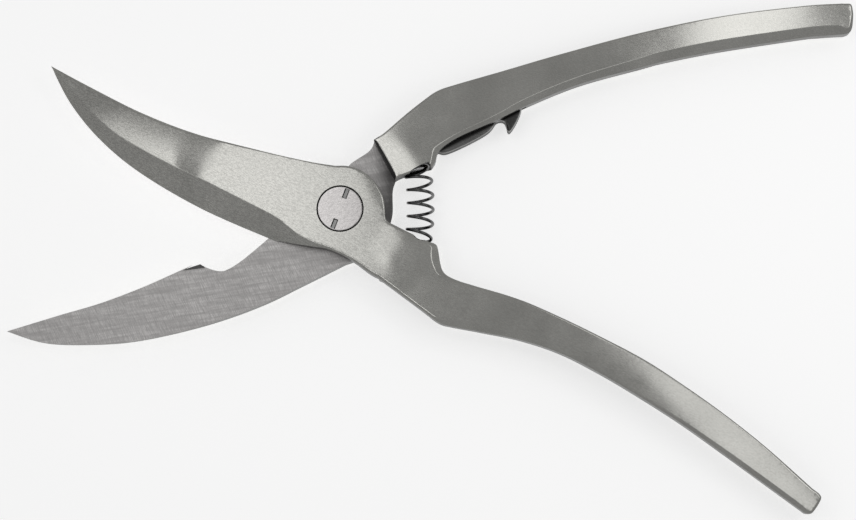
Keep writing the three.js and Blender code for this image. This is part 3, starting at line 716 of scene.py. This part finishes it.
def make_lever():
    loop = closed(*LEVER, step=LEVER_STEP)
    loop = np.c_[loop, np.full(len(loop), LEVER_INSET)]
    shell = Shell()
    shell.terrace(loop, MID_Z, level_face(LEVER_HIGH), up=True, profile=STAMPED, spread=LEVER_SPREAD)
    shell.terrace(loop, MID_Z, level_face(LEVER_LOW), up=False, profile=STAMPED, spread=LEVER_SPREAD)
    return cut(
        shell.build("latch_lever_plate"),
        rod((*LEVER_PIN, FACE_BACK), (*LEVER_PIN, FACE_FRONT), LEVER_PIN_R + LEVER_BORE_SPARE, 48),
        rod((*LEVER_PIN, FACE_BACK), (*LEVER_PIN, MID_Z), LEVER_SEAT_R, 48),
    )


def make_return_spring():
    steps = int(COILS * POINTS_PER_COIL)
    return tube("return_spring_wire", [spring_point(i / steps) for i in range(steps + 1)], WIRE_R)


# ---------- materials ----------
# Lengths inside a material are in metres, and a noise's scale is its lumps per metre.
MOST = (0.35, 0.65)  # what most of a smooth noise lies between
FINE, CLOUD = 3400, 75
BLADE_GLOSS_X, BLADE_GRAIN_X = (0.016, 0), (0.02, 0.008)  # where the blade's coarser finish takes over
LEVER_TURN = math.radians(26.7)  # the lever lies along this direction
UNDER_CHEEK, UNDER_CHEEK_TONE = (0.0018, 0.0025), 0.15  # across the lever: painted shadow where the handle's cheek lies over it
AT_HOOK, AT_HOOK_TONE = (0.0475, 0.0495), 0.45  # along it: painted shade at the hook
GRIND_ACROSS, GRIND_ALONG = (math.radians(-65), 5200), (math.radians(9), 1500)  # direction and scale
AT_SHOULDER, SHOULDER_SHADE_TONE = (0.009, 0.0135), 0.28  # painted shade: the plate darkens towards the shoulder that rises beside it
EVEN = (1, 1, 1)


class Nodes:
    """A new material and short ways to add nodes to it."""

    def __init__(self, name):
        self.material = bpy.data.materials.new(name)
        self.material.use_nodes = True
        self.tree = self.material.node_tree
        self.shader = self.tree.nodes["Principled BSDF"]

    def add(self, kind, **settings):
        node = self.tree.nodes.new(kind)
        for key, value in settings.items():
            setattr(node, key, value)
        return node

    def link(self, output, socket):
        self.tree.links.new(output, socket)

    def noise(self, vector, scale, detail):
        node = self.add("ShaderNodeTexNoise")
        node.inputs["Scale"].default_value = scale
        node.inputs["Detail"].default_value = detail
        node.inputs["Roughness"].default_value = 0.55
        self.link(vector, node.inputs["Vector"])
        return node.outputs["Fac"]

    def turned(self, angle, scale):
        """Object coordinates with X along the angle about Z, then stretched."""
        place = self.add("ShaderNodeTexCoord")
        turn = self.add("ShaderNodeMapping")
        turn.inputs["Rotation"].default_value = (0, 0, -angle)
        self.link(place.outputs["Object"], turn.inputs["Vector"])
        stretch = self.add("ShaderNodeMapping")
        stretch.inputs["Scale"].default_value = scale
        self.link(turn.outputs["Vector"], stretch.inputs["Vector"])
        return stretch.outputs["Vector"]

    def along(self, axis, angle=0):
        """How far a point lies along X or Y, both turned by the angle about Z."""
        place = self.add("ShaderNodeSeparateXYZ")
        self.link(self.turned(angle, EVEN), place.inputs["Vector"])
        return place.outputs[axis]

    def math(self, operation, a, b):
        node = self.add("ShaderNodeMath", operation=operation)
        for socket, value in zip(node.inputs, (a, b)):
            if isinstance(value, (int, float)):
                socket.default_value = value
            else:
                self.link(value, socket)
        return node.outputs["Value"]

    def times(self, first, *others):
        for other in others:
            first = self.math("MULTIPLY", first, other)
        return first

    def mixed(self, a, a_share, b, b_share):
        return self.math("ADD", self.times(a, a_share), self.times(b, b_share))

    def spread(self, value, low, high, to_low, to_high):
        node = self.add("ShaderNodeMapRange")
        for name, number in zip(("From Min", "From Max", "To Min", "To Max"), (low, high, to_low, to_high)):
            node.inputs[name].default_value = number
        self.link(value, node.inputs["Value"])
        return node.outputs["Result"]

    def tint(self, tone, shade_of):
        """The tone, made lighter or darker by a factor."""
        node = self.add("ShaderNodeVectorMath", operation="SCALE")
        node.inputs[0].default_value = tone
        self.link(shade_of, node.inputs["Scale"])
        self.link(node.outputs["Vector"], self.shader.inputs["Base Color"])

    def relief(self, height, strength):
        node = self.add("ShaderNodeBump")
        node.inputs["Strength"].default_value = strength
        node.inputs["Distance"].default_value = 0.00004
        self.link(height, node.inputs["Height"])
        self.link(node.outputs["Normal"], self.shader.inputs["Normal"])


def steel(name, tone, roughness, angle=0.0, grain=0.08, clouds=0.05, metallic=1.0, blade=None, marks=None):
    """Ground stainless steel: fine speckle drawn out along the grinding, cloudy tone and uneven gloss.

    A piece with a blade has a coarser finish there, from the pivot on: blade is its roughness and its grain.
    Marks is a function that gives further factors of its tone, such as painted shade.
    """
    n = Nodes(name)
    n.shader.inputs["Metallic"].default_value = metallic
    plain = n.turned(0, EVEN)
    cloud = n.noise(plain, CLOUD, 4)
    fine = n.mixed(n.noise(n.turned(angle, (0.3, 1, 1)), FINE, 3), 0.5, n.noise(plain, FINE, 2), 0.5)
    fine_signed = n.spread(fine, 0.4, 0.6, -1, 1)
    gloss = n.spread(n.mixed(cloud, 0.6, fine, 0.4), *MOST, 0.8, 1.2)
    if blade is not None:
        roughness = n.spread(n.along("X"), *BLADE_GLOSS_X, roughness, blade[0])
        grain = n.spread(n.along("X"), *BLADE_GRAIN_X, grain, blade[1])
    n.link(n.times(gloss, roughness), n.shader.inputs["Roughness"])
    shade_fine = n.math("ADD", 1.0, n.times(fine_signed, grain))
    shade_cloud = n.spread(cloud, *MOST, 1 - clouds, 1 + clouds)
    n.tint(tone, n.times(shade_fine, shade_cloud, *(marks(n) if marks else ())))
    n.relief(fine, 0.12)
    return n.material


def painted_shade_marks(n):
    """Painted shade: dark where the lever lies under the handle's cheek, and at its hook."""
    covered = n.spread(n.along("Y", LEVER_TURN), *UNDER_CHEEK, 1, UNDER_CHEEK_TONE)
    hook = n.spread(n.along("X", LEVER_TURN), *AT_HOOK, 1, AT_HOOK_TONE)
    return covered, hook


def ground_steel(name, tone, roughness):
    """A blade's flat inner face as the grinding wheel leaves it: fine lines across, faint bands along."""
    n = Nodes(name)
    n.shader.inputs["Metallic"].default_value = 1
    across = n.noise(n.turned(GRIND_ACROSS[0], (0.07, 1, 1)), GRIND_ACROSS[1], 1)
    along = n.noise(n.turned(GRIND_ALONG[0], (0.08, 1, 1)), GRIND_ALONG[1], 2)
    speckle = n.noise(n.turned(0, EVEN), 2400, 2)
    lines = n.times(n.spread(across, 0.3, 0.7, -1, 1), n.spread(along, 0.4, 0.62, 0.5, 1.25))
    shade_lines = n.math("ADD", 1.0, n.times(lines, 0.17))
    shade_bands = n.spread(along, *MOST, 0.96, 1.06)
    shade_speckle = n.spread(speckle, 0.3, 0.7, 0.94, 1.06)
    # Painted shade on the shearing face next to the shoulder.
    shoulder_shade = n.spread(n.along("X"), *AT_SHOULDER, 1, SHOULDER_SHADE_TONE)
    n.tint(tone, n.times(shade_lines, shade_bands, shade_speckle, shoulder_shade))
    n.link(n.spread(along, *MOST, roughness * 1.1, roughness * 0.9), n.shader.inputs["Roughness"])
    n.relief(across, 0.1)
    return n.material


forged = steel(
    "forged_steel", (0.60, 0.595, 0.562), 0.155, angle=math.radians(-25), clouds=0.07, blade=(0.23, 0.2)
)
turned = steel("turned_steel", (0.608, 0.587, 0.58), 0.2, angle=math.radians(20), grain=0.18)
# A darker copy of the steel: painted shade for the walls and for the small facet at the notch.
shaded_side_steel = steel("shaded_side_steel", (0.17, 0.168, 0.165), 0.4)
# A near-black copy of the steel: painted shade on the upper boss, the shoulder and the lever's walls.
shadowed = steel("painted_shade_steel", (0.07, 0.07, 0.068), 0.5)
wire = steel("spring_wire", (0.14, 0.14, 0.14), 0.15)
pins = steel("pin_steel", (0.5, 0.5, 0.5), 0.3)
# The lever's steel, with painted shade where the handle's cheek lies over it and at its hook.
dark = steel("latch_steel", (0.21, 0.21, 0.206), 0.3, grain=0.16, marks=painted_shade_marks)
# A mid tone: a painted highlight on the lever's rounded edge, and painted shade on the screw's slot floors.
painted_highlight_and_shade = steel("painted_highlight_and_shade_steel", (0.34, 0.34, 0.335), 0.3)
brass = steel("washer_brass", (0.6, 0.42, 0.2), 0.4)
# Near-black and not metal: painted shade in the spring recesses, in the gap round the screw head, and on the
# head's side and slot walls.
painted_hollow_shade = steel("painted_hollow_shade", (0.03, 0.03, 0.028), 0.7, metallic=0)
ground = ground_steel("ground_steel", (0.632, 0.617, 0.608), 0.5)

# ---------- which faces get which finish, and where shade and highlights are painted ---
# Upward share of a face's normal: below the first it is a wall, and above the second it is level.
WALL, LEVEL = 0.5, 0.9
FACET_TILT, FACET_LOW = (0.1, 0.994), 3
LEVER_EDGE_TILT = (0.3, 0.8)
RECESS_BEFORE, RECESS_PAST, RECESS_ROUND = 1.5, 1.2, 0.04  # how far its painted shade spreads
SEAM_DEPTH, SCREW_SIDE_DEPTH = 0.08, 0.12  # below the screw's top, the painted shade round it starts
# Plan boxes, as (low x, high x, low y, high y).
UPPER_BOSS_BOX, MOUTH_BOX, FACET_BOX = (8, 25.6, 7, 20), (18, 25, 7, 13.2), (-47, -37, -19, 0)


def within(point, box):
    return box[0] < point.x < box[1] and box[2] < point.y < box[3]


def dress(piece, material, body, node):
    piece.data.materials.clear()
    piece.data.materials.append(material)
    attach(piece, body)
    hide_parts(node)
    apply_modifier(piece, "WEIGHTED_NORMAL", keep_sharp=True)  # flat faces stay flat beside rounded ones
    return piece


def paint_light_and_shade(piece, material, is_chosen):
    """Paints shade, or a highlight, on the faces whose middle, in millimetres, and normal the test picks, by
    giving them another material.
    """
    piece.data.materials.append(material)
    last = len(piece.data.materials) - 1
    for polygon in piece.data.polygons:
        if is_chosen(polygon.center / MM, polygon.normal):
            polygon.material_index = last


def finish_shearing_face(half, level):
    """Gives the flat shearing face the coarser ground finish."""
    half.data.materials.append(ground)
    for polygon in half.data.polygons:
        if all(abs(half.data.vertices[v].co.z / MM - level) < MERGE for v in polygon.vertices):
            polygon.material_index = 1


def in_recess(point, normal):
    """Whether a face is part of a spring recess."""
    u = point.y - SPRING_Y
    across = math.hypot(point.x - spring_axis(u)[0], point.z - MID_Z)
    depth = abs(u) - SPRING_REACH + RECESS_DEPTH
    return -RECESS_BEFORE < depth < RECESS_DEPTH + RECESS_PAST and across < RECESS_R + RECESS_ROUND


def on_upper_boss(point, normal):
    """Whether a face is on the upper boss's front wall, or on its side where it rises from the rear plate."""
    if point.z <= MID_Z or not within(point, UPPER_BOSS_BOX):
        return False
    rises = normal.x < -0.3 and abs(normal.z) < LEVEL
    front = normal.y < -0.5 and abs(normal.z) < WALL
    in_mouth = abs(normal.z) < WALL and within(point, MOUTH_BOX)
    return rises or front or in_mouth


def on_notch_facet(point, normal):
    return FACET_TILT[0] < normal.z < FACET_TILT[1] and point.z > FACET_LOW and within(point, FACET_BOX)


def in_counterbore(point, normal):
    return point.xy.length < COUNTERBORE_R + 0.01 and point.z < HEAD_TOP - SEAM_DEPTH


def on_screw_side(point, normal):
    return point.z < HEAD_TOP - SCREW_SIDE_DEPTH and normal.z < LEVEL


def on_slot_floor(point, normal):
    return abs(point.z - HEAD_TOP - SLOT_SIDES[0][0]) < 0.1 and normal.z > LEVEL


def on_lever_edge(point, normal):
    """Whether a face is on the lever's rounded edge, on the sides that get its painted highlight."""
    return LEVER_EDGE_TILT[0] < normal.z < LEVER_EDGE_TILT[1] and (normal.y < -0.3 or normal.x > 0.5)


def on_lever_wall(point, normal):
    return abs(normal.z) <= LEVER_EDGE_TILT[0]


def on_wall(point, normal):
    return abs(normal.z) < WALL


# ---------- assembly ----------
rear_half = dress(make_rear_half(), forged, "rear", "rear_half")
front_half = dress(make_front_half(), forged, "front", "front_half")
finish_shearing_face(rear_half, MID_Z - SHEAR_GAP)
finish_shearing_face(front_half, MID_Z + SHEAR_GAP)
# Walls get painted shade, and the spring recesses a near-black painted shade.
for half in (rear_half, front_half):
    paint_light_and_shade(half, shaded_side_steel, on_wall)
    paint_light_and_shade(half, painted_hollow_shade, in_recess)
# Painted shade on the upper boss's front wall, on the shoulder where it rises from the rear plate, and in the
# recess mouth.
paint_light_and_shade(rear_half, shadowed, on_upper_boss)
# Painted shade on the small facet at the notch.
paint_light_and_shade(rear_half, shaded_side_steel, on_notch_facet)
# Painted shade in the gap round the screw head.
paint_light_and_shade(front_half, painted_hollow_shade, in_counterbore)

screw = dress(make_screw(), turned, "rear", "pivot_screw")
# Painted shade on the screw head's side and its slot walls.
paint_light_and_shade(screw, painted_hollow_shade, on_screw_side)
# Painted shade on the slot floors.
paint_light_and_shade(screw, painted_highlight_and_shade, on_slot_floor)
dress(make_nut(), turned, "rear", "pivot_nut")

lever = dress(make_lever(), dark, "latch", "latch_lever")
# Painted shade on the lever's walls.
paint_light_and_shade(lever, shadowed, on_lever_wall)
# A painted highlight on the lever's rounded edge.
paint_light_and_shade(lever, painted_highlight_and_shade, on_lever_edge)

spring = make_return_spring()
spring.data.materials.append(wire)
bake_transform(spring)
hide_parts("return_spring")

CARRIED = {
    "spring_washer": pins,
    "friction_washer": brass,
    "upper_spring_peg": pins,
    "lower_spring_peg": pins,
    "latch_pin": pins,
    "latch_spring": wire,
    "catch_pin": pins,
}
for node, material in CARRIED.items():
    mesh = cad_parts[node].data
    mesh.materials.clear()
    mesh.materials.append(material)


# ---------- studio ----------
FLOOR_SIZE, FLOOR_Z = 3, -0.0002  # in metres
SKY = 0.295
SOFTBOX_Z = 240
# Each softbox: name, low and high corner in plan, radiance.
SOFTBOXES = (
    ("left_box", (-104, 1), (3, 90), 0.93),
    ("left_low_box", (-190, -70), (-110, 30), 0.5),
    ("right_high_box", (126, 70), (170, 170), 1.12),
    ("right_low_box", (104, -115), (162, 25), 0.64),
    ("front_strip", (-85, -105), (-38, -60), 1.6),
    ("right_strip", (200, -70), (290, 150), 1.1),
)


def add_floor():
    mesh = bpy.data.meshes.new("floor")
    corners = [(x * FLOOR_SIZE, y * FLOOR_SIZE, FLOOR_Z) for x, y in ((-1, -1), (1, -1), (1, 1), (-1, 1))]
    mesh.from_pydata(corners, [], [(0, 1, 2, 3)])
    floor = put_in_scene("floor", mesh)
    material = bpy.data.materials.new("floor_paper")
    material.use_nodes = True
    shader = material.node_tree.nodes["Principled BSDF"]
    shader.inputs["Base Color"].default_value = (0.8, 0.8, 0.8, 1)
    shader.inputs["Roughness"].default_value = 0.9
    shader.inputs["Emission Color"].default_value = (1, 1, 1, 1)
    shader.inputs["Emission Strength"].default_value = 0.6
    mesh.materials.append(material)


def add_softbox(name, low, high, radiance):
    """A flat rectangular light that faces down."""
    size = np.subtract(high, low) * MM
    data = bpy.data.lights.new(name, "AREA")
    data.shape = "RECTANGLE"
    data.size, data.size_y = size
    data.energy = radiance * math.pi * size[0] * size[1]
    light = put_in_scene(name, data)
    light.location = (*(np.add(low, high) / 2 * MM), SOFTBOX_Z * MM)


def add_sky():
    world = bpy.data.worlds.new("studio")
    world.use_nodes = True
    world.node_tree.nodes["Background"].inputs["Color"].default_value = (1, 1, 1, 1)
    world.node_tree.nodes["Background"].inputs["Strength"].default_value = SKY
    bpy.context.scene.world = world


bpy.context.scene.view_settings.view_transform = "Standard"
add_floor()
add_sky()
for softbox in SOFTBOXES:
    add_softbox(*softbox)
